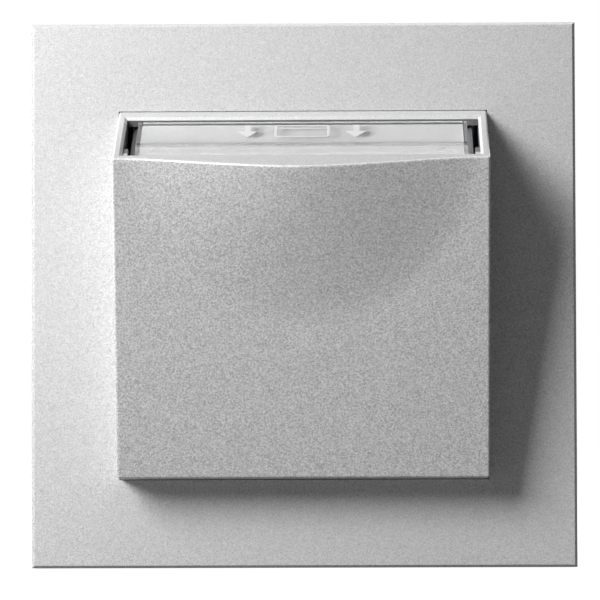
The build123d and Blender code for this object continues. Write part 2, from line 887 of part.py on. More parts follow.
with BuildPart() as socket_base:
    with BuildSketch(wall_plane(0)):
        Rectangle(base_size, base_size)
        chamfer(vertices(), length=base_corner)
    extrude(amount=-base_depth)
    with BuildSketch(wall_plane(0)):
        Rectangle(2 * room_half, 2 * room_half)
        chamfer(vertices(), length=room_corner)
    extrude(amount=-block_y, mode=Mode.SUBTRACT)
    with BuildSketch(wall_plane(block_y)):
        Rectangle(2 * room_half, 2 * room_half)
        chamfer(vertices(), length=room_corner)
        with Locations((0, block_top)):
            Rectangle(base_size, base_half, align=(Align.CENTER, Align.MAX), mode=Mode.SUBTRACT)
    extrude(amount=block_y - floor_y, mode=Mode.SUBTRACT)
    with BuildSketch(wall_plane(0)):
        with Locations(*corner_places):
            Circle(base_boss)
    extrude(amount=-base_boss_length)
    with BuildSketch(wall_plane(bridge_front_y)):
        with Locations((0, bridge_height)):
            Rectangle(2 * bridge_half, bridge_thickness)
    extrude(amount=bridge_front_y - floor_y)
    with BuildSketch(wall_plane(0)):
        with Locations(*corner_places):
            Circle(screw_shank + screw_grip)
    extrude(amount=-base_boss_length, mode=Mode.SUBTRACT)
    # clamp chambers, the slits above them, the wire entries below and the screw holes behind
    for place in terminal_places:
        with BuildSketch(wall_plane(block_y)):
            with Locations(place):
                Rectangle(clamp_width + 2 * clamp_seat, clamp_height + 2 * clamp_seat)
        extrude(amount=block_y - floor_y, mode=Mode.SUBTRACT)
        with BuildSketch(Plane.XY.offset(block_top)):
            with Locations((place[0], strip_y + strip_thickness / 2)):
                Rectangle(strip_width + 2 * strip_fit, strip_thickness + 2 * strip_fit)
        extrude(amount=terminal_height - block_top, mode=Mode.SUBTRACT)
        with BuildSketch(Plane.XY.offset(terminal_height)):
            with Locations((place[0], strip_y + strip_thickness + wire_entry / 2)):
                Rectangle(wire_entry, wire_entry)
        extrude(amount=-base_half - terminal_height, mode=Mode.SUBTRACT)
        with BuildSketch(wall_plane(floor_y)):
            with Locations(place):
                Circle(terminal_head + screw_clearance)
        extrude(amount=-base_wall, mode=Mode.SUBTRACT)
save(socket_base, "socket_base")


# Screws through the carrier's feet, and screws that join the socket's two halves
with BuildPart() as guide_screws:
    for place in guide_screw_places:
        screw(place, cover_front_y - foot_thickness, screw_shank, screw_head, screw_length)
save(guide_screws, "guide_screws")

with BuildPart() as cover_screws:
    for place in corner_places:
        screw(place, cover_front_y + screw_head_thickness, screw_shank, screw_head, screw_length)
save(cover_screws, "cover_screws")


# Plunger: slides in the socket cover between the lever's pad and the contact blade
head_back_y = plunger_face_y + plunger_head_thickness
plunger_tip_y = knife_y - blade_thickness / 2 - touch_gap
with BuildPart() as plunger:
    with BuildSketch():
        with BuildLine():
            Polyline(
                (0, plunger_tip_y),
                (0, plunger_face_y),
                (plunger_head, plunger_face_y),
                (plunger_head, head_back_y),
                (plunger_radius, head_back_y),
                (plunger_radius, plunger_tip_y - plunger_radius),
            )
            CenterArc((0, plunger_tip_y - plunger_radius), plunger_radius, 0, 90)
        make_face()
    revolve(axis=Axis.Y)
save(plunger, "plunger")

with BuildPart() as plunger_spring:
    coil(spring_radius, spring_wire, spring_turns, head_back_y + touch_gap, cover_front_y - touch_gap)
save(plunger_spring, "plunger_spring")


# Contact blade: swings on a knife edge, with a contact riveted through its free end
with BuildPart() as contact_blade:
    with BuildSketch(Plane.YZ):
        with Locations((knife_y, knife_height)):
            Circle(blade_thickness / 2)
            Rectangle(blade_thickness, blade_length, align=(Align.CENTER, Align.MAX))
    extrude(amount=blade_width / 2, both=True)
    with BuildSketch(wall_plane(knife_y)):
        with Locations((0, contact_height)):
            Circle(contact_shank + shank_fit)
    extrude(amount=blade_thickness, both=True, mode=Mode.SUBTRACT)
save(contact_blade, "contact_blade")

with BuildPart() as moving_contact:
    turned(
        (0, contact_height),
        [
            (0, blade_front_y - moving_front),
            (contact_radius, blade_front_y - moving_front),
            (contact_radius, blade_front_y),
            (contact_shank, blade_front_y),
            (contact_shank, blade_back_y),
            (contact_radius, blade_back_y),
            (contact_radius, blade_back_y + moving_back),
            (0, blade_back_y + moving_back),
        ],
    )
save(moving_contact, "moving_contact")

with BuildPart() as blade_spring:
    coil(
        blade_spring_radius,
        blade_spring_wire,
        blade_spring_turns,
        blade_back_y + touch_gap,
        strip_y - touch_gap,
    )
save(blade_spring, "blade_spring")


# Strips from the contacts to the terminals: one that carries the blade, one that it rests
# on without a card and one that it reaches with a card
strip_back_y = strip_y + strip_thickness
with BuildPart() as common_strip:
    top = knife_height + strip_thickness
    path = [(strip_back_y, strip_end), (strip_back_y, top), (knife_y - knife_depth, top)]
    with BuildSketch(Plane.YZ):
        Polygon(*bent_strip(path, strip_thickness), align=None)
        with Locations((knife_y, knife_height)):
            Circle(blade_thickness / 2 + knife_play, mode=Mode.SUBTRACT)
    extrude(amount=strip_width / 2, both=True)
save(common_strip, "common_strip")

foot_low = contact_height - foot_half
with BuildPart() as closed_strip:
    path = [
        (strip_back_y, strip_end),
        (strip_back_y, leg_height),
        (closed_y, leg_height),
        (closed_y, foot_low),
    ]
    with BuildSketch(Plane.YZ.offset(-terminal_spacing)):
        Polygon(*bent_strip(path, strip_thickness), align=None)
    extrude(amount=strip_width / 2, both=True)
    with BuildSketch(wall_plane(closed_y)):
        with Locations((foot_over, contact_height)):
            Rectangle(terminal_spacing + foot_over, 2 * foot_half, align=(Align.MAX, Align.CENTER))
        with Locations((0, contact_height)):
            Circle(contact_shank + shank_fit, mode=Mode.SUBTRACT)
    extrude(amount=-strip_thickness)
save(closed_strip, "closed_strip")

with BuildPart() as open_strip:
    path = [
        (strip_back_y, strip_end),
        (strip_back_y, leg_height),
        (open_y, leg_height),
        (open_y, foot_low),
    ]
    with BuildSketch(Plane.YZ.offset(terminal_spacing)):
        Polygon(*bent_strip(path, strip_thickness), align=None)
    extrude(amount=strip_width / 2, both=True)
    with BuildSketch(wall_plane(open_y)):
        with Locations((-foot_over, contact_height)):
            Rectangle(terminal_spacing + foot_over, 2 * foot_half, align=(Align.MIN, Align.CENTER))
        with Locations((0, contact_height)):
            Circle(contact_shank + shank_fit, mode=Mode.SUBTRACT)
    extrude(amount=-strip_thickness)
save(open_strip, "open_strip")

with BuildPart() as fixed_contacts:
    rivet((0, contact_height), closed_y, closed_tip_y)
    rivet((0, contact_height), open_y + strip_thickness, open_tip_y)
save(fixed_contacts, "fixed_contacts")


# Terminals: box clamps round the strips' ends, each with a screw from behind
with BuildPart() as terminal_clamps:
    with BuildSketch(Plane.XY.offset(terminal_height)):
        for place in terminal_places:
            with Locations((place[0], clamp_front_y + clamp_depth / 2)):
                Rectangle(clamp_width, clamp_depth)
                Rectangle(clamp_width - 2 * clamp_wall, clamp_depth - 2 * clamp_wall, mode=Mode.SUBTRACT)
    extrude(amount=clamp_height / 2, both=True)
    with BuildSketch(wall_plane(clamp_back_y)):
        with Locations(*terminal_places):
            Circle(terminal_shank + screw_grip)
    extrude(amount=clamp_wall, mode=Mode.SUBTRACT)
save(terminal_clamps, "terminal_clamps")

with BuildPart() as terminal_screws:
    for place in terminal_places:
        screw(
            place,
            floor_y + screw_clearance,
            terminal_shank,
            terminal_head,
            terminal_screw_length,
            way=-1,
        )
save(terminal_screws, "terminal_screws")


# Lamp board: a small circuit board on the carrier's shelf that lights the diffuser
board_low = shelf_top + board_post_height
board_high = board_low + board_thickness
with BuildPart() as lamp_board:
    with BuildSketch(Plane.XY.offset(board_low)):
        with Locations((0, post_y)):
            Rectangle(board_width, board_depth)
        with Locations((-board_post_spacing / 2, post_y), (board_post_spacing / 2, post_y)):
            Circle(board_peg_radius + board_fit, mode=Mode.SUBTRACT)
        with Locations((-pin_spacing / 2, wire_y), (pin_spacing / 2, wire_y)):
            Circle(wire_radius + wire_hole_fit, mode=Mode.SUBTRACT)
    extrude(amount=board_thickness)
save(lamp_board, "lamp_board")

with BuildPart() as lamps:
    with BuildSketch(Plane.XY.offset(board_high)):
        with Locations((0, board_y + lamp_back)):
            with GridLocations(lamp_spacing, 0, lamp_count, 1):
                Rectangle(lamp_length, lamp_width)
    extrude(amount=lamp_height)
    with BuildSketch(Plane.XY.offset(board_high + lamp_height)):
        with Locations((0, board_y + lamp_back)):
            with GridLocations(lamp_spacing, 0, lamp_count, 1):
                Circle(lamp_lens_radius)
    extrude(amount=-lamp_lens_depth, mode=Mode.SUBTRACT)
save(lamps, "lamps")

with BuildPart() as resistors:
    with BuildSketch(Plane.XY.offset(board_high)):
        with Locations((0, board_y + resistor_back)):
            with GridLocations(resistor_spacing, 0, 2, 1):
                Rectangle(resistor_length, resistor_width)
    extrude(amount=resistor_height)
save(resistors, "resistors")

with BuildPart() as board_wires:
    for side in (-1, 1):
        with BuildLine():
            path = FilletPolyline(
                (side * pin_spacing / 2, wire_y, board_high + wire_radius),
                (side * pin_spacing / 2, wire_y, wire_z),
                (side * pin_spacing / 2, wire_reach, wire_z),
                radius=wire_bend,
            )
        with BuildSketch(Plane(origin=path @ 0, z_dir=path % 0)):
            Circle(wire_radius)
        sweep(path=path)
save(board_wires, "board_wires")
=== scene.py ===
import math

import bmesh
import bpy
from mathutils import Matrix, Vector


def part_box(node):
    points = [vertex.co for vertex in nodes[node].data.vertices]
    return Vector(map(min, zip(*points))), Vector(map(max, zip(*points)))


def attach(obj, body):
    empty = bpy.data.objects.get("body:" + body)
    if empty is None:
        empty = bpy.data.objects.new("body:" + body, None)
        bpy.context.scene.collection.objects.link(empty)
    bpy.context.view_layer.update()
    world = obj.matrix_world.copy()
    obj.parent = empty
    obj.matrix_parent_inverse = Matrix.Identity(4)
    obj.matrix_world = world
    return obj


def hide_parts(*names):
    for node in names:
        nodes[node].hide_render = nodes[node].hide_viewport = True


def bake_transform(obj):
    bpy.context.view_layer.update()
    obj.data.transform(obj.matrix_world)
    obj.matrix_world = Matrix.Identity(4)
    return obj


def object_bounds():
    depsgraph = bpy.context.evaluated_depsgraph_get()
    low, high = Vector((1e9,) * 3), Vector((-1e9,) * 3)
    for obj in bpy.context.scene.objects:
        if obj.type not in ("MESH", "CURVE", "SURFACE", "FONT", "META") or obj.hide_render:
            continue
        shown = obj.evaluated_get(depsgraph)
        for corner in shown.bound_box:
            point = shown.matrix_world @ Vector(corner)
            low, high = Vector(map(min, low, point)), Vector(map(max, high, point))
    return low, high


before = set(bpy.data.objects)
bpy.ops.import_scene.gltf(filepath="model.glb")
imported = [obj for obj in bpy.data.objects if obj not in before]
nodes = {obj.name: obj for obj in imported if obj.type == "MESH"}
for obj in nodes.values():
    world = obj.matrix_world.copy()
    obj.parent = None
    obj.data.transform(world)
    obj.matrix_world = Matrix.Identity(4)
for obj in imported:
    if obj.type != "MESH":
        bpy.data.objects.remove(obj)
cadLow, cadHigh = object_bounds()
scene = bpy.context.scene
scene.view_settings.view_transform = "Standard"
print("frame loaded:", len(nodes), "nodes")

mm = 0.001
tiny = 0.01 * mm  # places closer than this count as one
skin = 0.05 * mm  # how far off a face or an edge a mask ends
white = (1, 1, 1, 1)


# places read from the frame

def lowest(name):
    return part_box(name)[0]


def highest(name):
    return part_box(name)[1]


def middle(name):
    return (Vector(lowest(name)) + Vector(highest(name))) / 2


cadFace = lowest("cover_frame")[1]


# the sloping top of the wedge, its clear plate and its mouth

wedge = {
    "reach": 17.9 * mm,
    "drop": 8.5 * mm,
    "glassRecess": 0.6 * mm,
    "bevel": 0.4 * mm,
    "wall": 1.2 * mm,
    "mouthFront": -22.1 * mm,
    "mouthLow": 12 * mm,
}


def roofPlane(reach, lowering):
    # the plane of the sloping top, x to the right, y up the slope and z out of it
    slope = math.atan2(wedge["drop"], wedge["reach"])
    upSlope = Vector((0, math.cos(slope), math.sin(slope)))
    outward = Vector((0, -math.sin(slope), math.cos(slope)))
    start = Vector((0, cadFace, highest("card_housing")[2]))
    plane = Matrix((Vector((1, 0, 0)), upSlope, outward)).transposed().to_4x4()
    plane.translation = start - upSlope * reach - outward * lowering
    return plane


# node helpers shared by all materials

edgeSamples = 6


def newMaterial(name, color, roughness, metallic=0.0):
    mat = bpy.data.materials.new(name)
    mat.use_nodes = True
    shader = mat.node_tree.nodes["Principled BSDF"]
    shader.inputs["Base Color"].default_value = (*color, 1)
    shader.inputs["Roughness"].default_value = roughness
    shader.inputs["Metallic"].default_value = metallic
    return mat, mat.node_tree, shader


def addNode(tree, kind, settings=None, inputs=None):
    new = tree.nodes.new(kind)
    for key, value in (settings or {}).items():
        setattr(new, key, value)
    for key, value in (inputs or {}).items():
        if isinstance(value, bpy.types.NodeSocket):
            tree.links.new(value, new.inputs[key])
        else:
            new.inputs[key].default_value = value
    return new


def objectSpace(tree):
    return addNode(tree, "ShaderNodeTexCoord").outputs["Object"]


def axes(tree, vector):
    return addNode(tree, "ShaderNodeSeparateXYZ", inputs={"Vector": vector}).outputs


def pattern(tree, kind, place, scale, **more):
    return addNode(tree, kind, inputs={"Vector": place, "Scale": scale, **more})


def spread(tree, source, low, high):
    # a factor from 0 to 1 turned into a range from low to high
    mapped = addNode(tree, "ShaderNodeMapRange", inputs={"Value": source, "To Min": low, "To Max": high})
    return mapped.outputs["Result"]


def figure(tree, operation, first, second=0.0):
    return addNode(tree, "ShaderNodeMath", {"operation": operation}, {0: first, 1: second}).outputs[0]


def blendFigures(tree, factor, first, second):
    inputs = {"Factor": factor, "A": first, "B": second}
    return addNode(tree, "ShaderNodeMix", {"data_type": "FLOAT"}, inputs).outputs["Result"]


def vectorFigure(tree, operation, inputs, result="Vector"):
    return addNode(tree, "ShaderNodeVectorMath", {"operation": operation}, inputs).outputs[result]


def shadeOf(color, factor):
    return [min(1, part * factor) for part in color]


def tint(tree, source, dark, light):
    mixed = addNode(tree, "ShaderNodeMix", {"data_type": "RGBA"})
    for key, value in (("Factor", source), ("A", dark), ("B", light)):
        if isinstance(value, bpy.types.NodeSocket):
            tree.links.new(value, mixed.inputs[key])
        else:
            mixed.inputs[key].default_value = (*value, 1)
    return mixed.outputs["Result"]


def edgeNormal(tree, radius):
    # a normal that is rounded over sharp edges
    return addNode(tree, "ShaderNodeBevel", {"samples": edgeSamples}, {"Radius": radius}).outputs["Normal"]


def relief(tree, source, shader, depth, normal):
    raised = addNode(
        tree,
        "ShaderNodeBump",
        inputs={"Strength": 1.0, "Distance": depth, "Height": source, "Normal": normal},
    )
    tree.links.new(raised.outputs["Normal"], shader.inputs["Normal"])


# silver lacquer with metal flakes, the bare plastic inside that it doesn't reach, and painted shade on the
# walls inside the mouth

lacquered = {
    "frameLacquer": {"contrast": 0.27, "calmAbove": cadHigh[2], "mouth": False},
    "housingLacquer": {"contrast": 0.44, "calmAbove": 20.4 * mm, "mouth": True},
}
lacquer = {
    "color": (0.58, 0.58, 0.585),
    "calmOnTop": 0.7,
    "flakeScale": 7500,
    "flakeMean": 0.5,
    "flakeTilt": 0.13,
    "grainScale": 3750,
    "grainDepth": 0.008 * mm,
    "cloudScale": 240,
    "cloudPlay": 0.02,
    "metallic": 0.5,
    "roughness": (0.42, 0.52),
    "edge": 0.12 * mm,
    "bareColor": (0.36, 0.365, 0.37),
    # painted shade: the walls inside the mouth are painted much darker than the bare plastic
    "mouthShadeColor": (0.12, 0.121, 0.124),
    "bareRoughness": 0.55,
    "skirt": 2.0 * mm,
    "plate": 2.2 * mm,
}


def bareMask(tree, along, across):
    # inside the skirt of the frame and behind its plate
    reach = figure(tree, "MAXIMUM", across, figure(tree, "ABSOLUTE", along["Z"]))
    inside = figure(tree, "LESS_THAN", reach, highest("cover_frame")[0] - lacquer["skirt"] / 2)
    behind = figure(tree, "GREATER_THAN", along["Y"], cadFace + lacquer["plate"] - skin)
    return figure(tree, "MULTIPLY", inside, behind)


def mouthMask(tree, place, along, across):
    # the walls inside the mouth, below its bevel: bare of lacquer, and painted darker as shade
    roof = roofPlane(0, wedge["bevel"] + skin)
    outward = roof.to_3x3() @ Vector((0, 0, 1))
    depth = vectorFigure(tree, "DOT_PRODUCT", {0: place, 1: outward}, "Value")
    limits = (
        figure(tree, "LESS_THAN", depth, outward.dot(roof.translation)),
        figure(tree, "LESS_THAN", across, highest("card_housing")[0] - wedge["wall"]),
        figure(tree, "GREATER_THAN", along["Y"], wedge["mouthFront"]),
        figure(tree, "GREATER_THAN", along["Z"], wedge["mouthLow"]),
    )
    mask = 1.0
    for limit in limits:
        mask = figure(tree, "MULTIPLY", limit, mask)
    return mask


def flakeNormal(tree, flakes, strength):
    # each flake lies a little askew, as far as the strength says
    middleColor = [lacquer["flakeMean"]] * 3
    askew = vectorFigure(tree, "SUBTRACT", {0: flakes.outputs["Color"], 1: middleColor})
    turned = vectorFigure(tree, "SCALE", {"Vector": askew, "Scale": strength})
    tilted = vectorFigure(tree, "ADD", {0: turned, 1: edgeNormal(tree, lacquer["edge"])})
    return vectorFigure(tree, "NORMALIZE", {0: tilted})


def lacquerMaterial(name):
    kind = lacquered[name]
    mat, tree, shader = newMaterial(name, lacquer["color"], lacquer["bareRoughness"], lacquer["metallic"])
    place = objectSpace(tree)
    along = axes(tree, place)
    across = figure(tree, "ABSOLUTE", along["X"])
    flakes = pattern(tree, "ShaderNodeTexVoronoi", place, lacquer["flakeScale"])
    grain = pattern(tree, "ShaderNodeTexNoise", place, lacquer["grainScale"], Detail=2)
    cloud = pattern(tree, "ShaderNodeTexNoise", place, lacquer["cloudScale"], Detail=3)
    split = addNode(tree, "ShaderNodeSeparateColor", inputs={"Color": flakes.outputs["Color"]}).outputs
    # the flakes show less on the faces that look up, and above the height that the kind gives
    facing = axes(tree, addNode(tree, "ShaderNodeTexCoord").outputs["Normal"])
    above = figure(tree, "GREATER_THAN", along["Z"], kind["calmAbove"])
    calm = figure(tree, "MULTIPLY", figure(tree, "MAXIMUM", facing["Z"], above), lacquer["calmOnTop"])
    dark, light = (shadeOf(lacquer["color"], 1 + side * kind["contrast"]) for side in (-1, 1))
    color = tint(tree, blendFigures(tree, calm, split["Red"], lacquer["flakeMean"]), dark, light)
    value = spread(tree, cloud.outputs["Fac"], 1 - lacquer["cloudPlay"], 1 + lacquer["cloudPlay"])
    clouded = addNode(tree, "ShaderNodeHueSaturation", inputs={"Color": color, "Value": value})
    bare = bareMask(tree, along, across)
    coat = tint(tree, bare, clouded.outputs["Color"], lacquer["bareColor"])
    if kind["mouth"]:
        mouth = mouthMask(tree, place, along, across)
        # painted shade: the walls inside the mouth get a darker colour than the bare plastic, as if in
        # shadow
        coat = tint(tree, mouth, coat, lacquer["mouthShadeColor"])
        bare = figure(tree, "MAXIMUM", bare, mouth)
    tree.links.new(coat, shader.inputs["Base Color"])
    metal = figure(tree, "MULTIPLY", figure(tree, "SUBTRACT", 1.0, bare), lacquer["metallic"])
    tree.links.new(metal, shader.inputs["Metallic"])
    rough = spread(tree, split["Green"], *lacquer["roughness"])
    tree.links.new(blendFigures(tree, bare, rough, lacquer["bareRoughness"]), shader.inputs["Roughness"])
    strength = figure(tree, "MULTIPLY", figure(tree, "SUBTRACT", 1.0, calm), lacquer["flakeTilt"])
    normal = flakeNormal(tree, flakes, strength)
    relief(tree, grain.outputs["Fac"], shader, lacquer["grainDepth"], normal)
    return mat


# moulded plastics: colour, roughness and depth of the mould's texture

moulded = {
    "whitePlastic": ((0.78, 0.78, 0.76), 0.45, 0.006 * mm),
    "milkyPlastic": ((0.335, 0.337, 0.337), 0.5, 0.004 * mm),
    "signPlastic": ((0.50, 0.50, 0.50), 0.5, 0.003 * mm),
    "greyPlastic": ((0.50, 0.51, 0.50), 0.5, 0.012 * mm),
    "carrierPlastic": ((0.075, 0.076, 0.079), 0.5, 0.008 * mm),
    "lampShell": ((0.82, 0.81, 0.77), 0.4, 0.003 * mm),
    "lampLens": ((0.80, 0.56, 0.10), 0.35, 0.004 * mm),
    "resistorBody": ((0.03, 0.03, 0.033), 0.4, 0.004 * mm),
}
mouldFinish = {
    "grainScale": 3000,
    "flowScale": 120,
    "flowBend": 1.5,
    "flowShades": (0.92, 1.06),
    "glossPlay": 0.08,
    "edge": 0.12 * mm,
}


def mouldedMaterial(name):
    color, roughness, depth = moulded[name]
    mat, tree, shader = newMaterial(name, color, roughness)
    place = objectSpace(tree)
    grain = pattern(tree, "ShaderNodeTexNoise", place, mouldFinish["grainScale"], Detail=3)
    bend = {"Detail": 2, "Distortion": mouldFinish["flowBend"]}
    flow = pattern(tree, "ShaderNodeTexNoise", place, mouldFinish["flowScale"], **bend)
    dark, light = (shadeOf(color, factor) for factor in mouldFinish["flowShades"])
    tree.links.new(tint(tree, flow.outputs["Fac"], dark, light), shader.inputs["Base Color"])
    play = mouldFinish["glossPlay"]
    rough = spread(tree, grain.outputs["Fac"], roughness - play, roughness + play)
    tree.links.new(rough, shader.inputs["Roughness"])
    relief(tree, grain.outputs["Fac"], shader, depth, edgeNormal(tree, mouldFinish["edge"]))
    return mat


# clear plastic with faint flow waves and a lightly frosted lip

clear = {
    "color": (0.985, 0.985, 0.98),
    "roughness": 0.05,
    "bend": 1.49,
    "passed": (0.94, 0.945, 0.94),
    "frost": 0.16,
    "frosted": (-18.6 * mm, -19.4 * mm),
    "waveScale": 350,
    "waveDepth": 0.004 * mm,
    "edge": 0.1 * mm,
}


def clearMaterial():
    mat, tree, shader = newMaterial("clearPlastic", clear["color"], clear["roughness"])
    shader.inputs["IOR"].default_value = clear["bend"]
    place = objectSpace(tree)
    start, end = clear["frosted"]
    passing = addNode(
        tree,
        "ShaderNodeMapRange",
        inputs={
            "Value": axes(tree, place)["Y"],
            "From Min": start,
            "From Max": end,
            "To Min": 1,
            "To Max": 1 - clear["frost"],
        },
    )
    tree.links.new(passing.outputs["Result"], shader.inputs["Transmission Weight"])
    wave = pattern(tree, "ShaderNodeTexNoise", place, clear["waveScale"], Detail=2)
    relief(tree, wave.outputs["Fac"], shader, clear["waveDepth"], edgeNormal(tree, clear["edge"]))
    # the light of the studio's lamps passes straight through, to the plate behind
    path = addNode(tree, "ShaderNodeLightPath")
    lit = addNode(tree, "ShaderNodeBsdfTransparent", inputs={"Color": (*clear["passed"], 1)})
    mixed = addNode(
        tree,
        "ShaderNodeMixShader",
        inputs={"Fac": path.outputs["Is Shadow Ray"], 1: shader.outputs["BSDF"], 2: lit.outputs["BSDF"]},
    )
    tree.links.new(mixed.outputs["Shader"], tree.nodes["Material Output"].inputs["Surface"])
    return mat


# metals: colour, roughness, scale of the grain and how far it is drawn out along Z

metals = {
    "zincSteel": ((0.60, 0.61, 0.63), 0.36, 700, 1),
    "screwSteel": ((0.62, 0.62, 0.63), 0.28, 1500, 1),
    "springSteel": ((0.50, 0.50, 0.50), 0.25, 2500, 1),
    "rolledBrass": ((0.75, 0.55, 0.26), 0.3, 1200, 0.08),
    "dullSilver": ((0.80, 0.79, 0.76), 0.3, 1500, 1),
    "tinnedWire": ((0.72, 0.72, 0.72), 0.25, 2500, 1),
    "solderTin": ((0.66, 0.66, 0.68), 0.3, 1800, 1),
}
metalFinish = {
    "cloudScale": 150,
    "cloudShades": (0.82, 1.1),
    "glossPlay": (-0.1, 0.14),
    "grainDepth": 0.004 * mm,
    "edge": 0.08 * mm,
}


def metalMaterial(name):
    color, roughness, scale, drawn = metals[name]
    mat, tree, shader = newMaterial(name, color, roughness, 1.0)
    place = objectSpace(tree)
    stretched = addNode(tree, "ShaderNodeMapping", inputs={"Vector": place, "Scale": (1, 1, drawn)})
    grain = pattern(tree, "ShaderNodeTexNoise", stretched.outputs["Vector"], scale, Detail=3)
    cloud = pattern(tree, "ShaderNodeTexNoise", place, metalFinish["cloudScale"], Detail=3)
    dark, light = (shadeOf(color, factor) for factor in metalFinish["cloudShades"])
    tree.links.new(tint(tree, cloud.outputs["Fac"], dark, light), shader.inputs["Base Color"])
    smooth, rough = (roughness + play for play in metalFinish["glossPlay"])
    tree.links.new(spread(tree, grain.outputs["Fac"], smooth, rough), shader.inputs["Roughness"])
    normal = edgeNormal(tree, metalFinish["edge"])
    relief(tree, grain.outputs["Fac"], shader, metalFinish["grainDepth"], normal)
    return mat


# green lacquer over a glass cloth whose threads just show

board = {
    "mask": (0.012, 0.10, 0.035),
    "maskLight": (0.02, 0.16, 0.055),
    "roughness": 0.32,
    "weaveScale": 1300,
    "weaveBend": 0.3,
    "weaveDepth": 0.004 * mm,
    "edge": 0.06 * mm,
}


def boardMaterial():
    mat, tree, shader = newMaterial("boardLacquer", board["mask"], board["roughness"])
    place = objectSpace(tree)
    threads = [
        addNode(
            tree,
            "ShaderNodeTexWave",
            {"wave_type": "BANDS", "bands_direction": way},
            {"Vector": place, "Scale": board["weaveScale"], "Distortion": board["weaveBend"]},
        ).outputs["Fac"]
        for way in ("X", "Y")
    ]
    cloth = figure(tree, "MULTIPLY", *threads)
    tree.links.new(tint(tree, cloth, board["mask"], board["maskLight"]), shader.inputs["Base Color"])
    relief(tree, cloth, shader, board["weaveDepth"], edgeNormal(tree, board["edge"]))
    return mat


made = {name: lacquerMaterial(name) for name in lacquered}
made["clearPlastic"] = clearMaterial()
made["boardLacquer"] = boardMaterial()
made.update({name: mouldedMaterial(name) for name in moulded})
made.update({name: metalMaterial(name) for name in metals})

wearers = {
    "frameLacquer": ("cover_frame",),
    "housingLacquer": ("card_housing",),
    "clearPlastic": ("light_guide",),
    "boardLacquer": ("lamp_board",),
    "whitePlastic": ("card_lever", "plunger"),
    "milkyPlastic": ("diffuser_plate",),
    "greyPlastic": ("socket_cover", "socket_base"),
    "carrierPlastic": ("card_guide",),
    "lampShell": ("lamps",),
    "resistorBody": ("resistors",),
    "zincSteel": ("support_ring", "terminal_clamps"),
    "screwSteel": ("lever_pin", "guide_screws", "cover_screws", "terminal_screws"),
    "springSteel": ("plunger_spring", "blade_spring"),
    "rolledBrass": ("contact_blade", "common_strip", "closed_strip", "open_strip"),
    "dullSilver": ("moving_contact", "fixed_contacts"),
    "tinnedWire": ("board_wires",),
}
for finish, wearing in wearers.items():
    for name in wearing:
        nodes[name].data.materials.clear()
        nodes[name].data.materials.append(made[finish])
print("materials assigned:", len(made))


# mesh helpers

finishing = {"join": 0.0005 * mm, "sharpDegrees": 35}


def facesOf(verts):
    return list(dict.fromkeys(face for vert in verts for face in vert.link_faces))


def edgesOf(verts):
    return list(dict.fromkeys(edge for vert in verts for edge in vert.link_edges))


def everything(shape):
    return shape.verts[:] + shape.edges[:] + shape.faces[:]


def addBar(shape, place, size):
    # a flat bar in the plane z = 0
    bar = bmesh.ops.create_grid(shape, x_segments=1, y_segments=1, size=0.5)["verts"]
    bmesh.ops.scale(shape, vec=(*size, 1), verts=bar)
    bmesh.ops.translate(shape, vec=(*place, 0), verts=bar)
    return bar


def roundOff(shape, items, offset, segments=2, affect="EDGES"):
    bmesh.ops.bevel(
        shape,
        geom=items,
        offset=offset,
        segments=segments,
        profile=0.5,
        affect=affect,
        material=-1,
    )


def raiseFaces(shape, faces, rise, keepOld=False):
    raised = bmesh.ops.extrude_face_region(shape, geom=faces, use_keep_orig=keepOld)["geom"]
    lift = [item for item in raised if isinstance(item, bmesh.types.BMVert)]
    bmesh.ops.translate(shape, vec=(0, 0, rise), verts=lift)


def finishPiece(name, shape, finish, replaced=None, body="root"):
    bmesh.ops.remove_doubles(shape, verts=shape.verts, dist=finishing["join"])
    bmesh.ops.recalc_face_normals(shape, faces=shape.faces)
    mesh = bpy.data.meshes.new(name)
    shape.to_mesh(mesh)
    shape.free()
    mesh.shade_smooth()
    mesh.set_sharp_from_angle(angle=math.radians(finishing["sharpDegrees"]))
    mesh.materials.append(made[finish])
    piece = bpy.data.objects.new(name, mesh)
    scene.collection.objects.link(piece)
    if body:
        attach(piece, body)
    if replaced:
        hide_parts(replaced)
    return piece


# sign on the clear plate: a card between two arrows that point into the slot

sign = {
    "place": 7.2 * mm,
    "cardSize": (8.6 * mm, 5.2 * mm),
    "cardCorner": 0.9 * mm,
    "cornerSteps": 6,
    "stroke": 0.42 * mm,
    "stripe": 1.35 * mm,
    "stripeOverlap": 0.05,
    "arrowPlace": 8.4 * mm,
    "arrowSize": (3.2 * mm, 5.2 * mm),
    "arrowHead": 2.6 * mm,
    "arrowShaft": 0.9 * mm,
    "thickness": 0.07 * mm,
    "sunk": 0.005 * mm,
}


def addArrow(shape, place):
    # an arrow that points down the slope
    width, height = sign["arrowSize"]
    neck = sign["arrowHead"] - height / 2
    half = sign["arrowShaft"] / 2
    outline = [(0, -height / 2), (width / 2, neck), (half, neck), (half, height / 2)]
    outline += [(-x, y) for x, y in outline[:0:-1]]
    shape.faces.new([shape.verts.new((place + x, y, 0)) for x, y in outline])


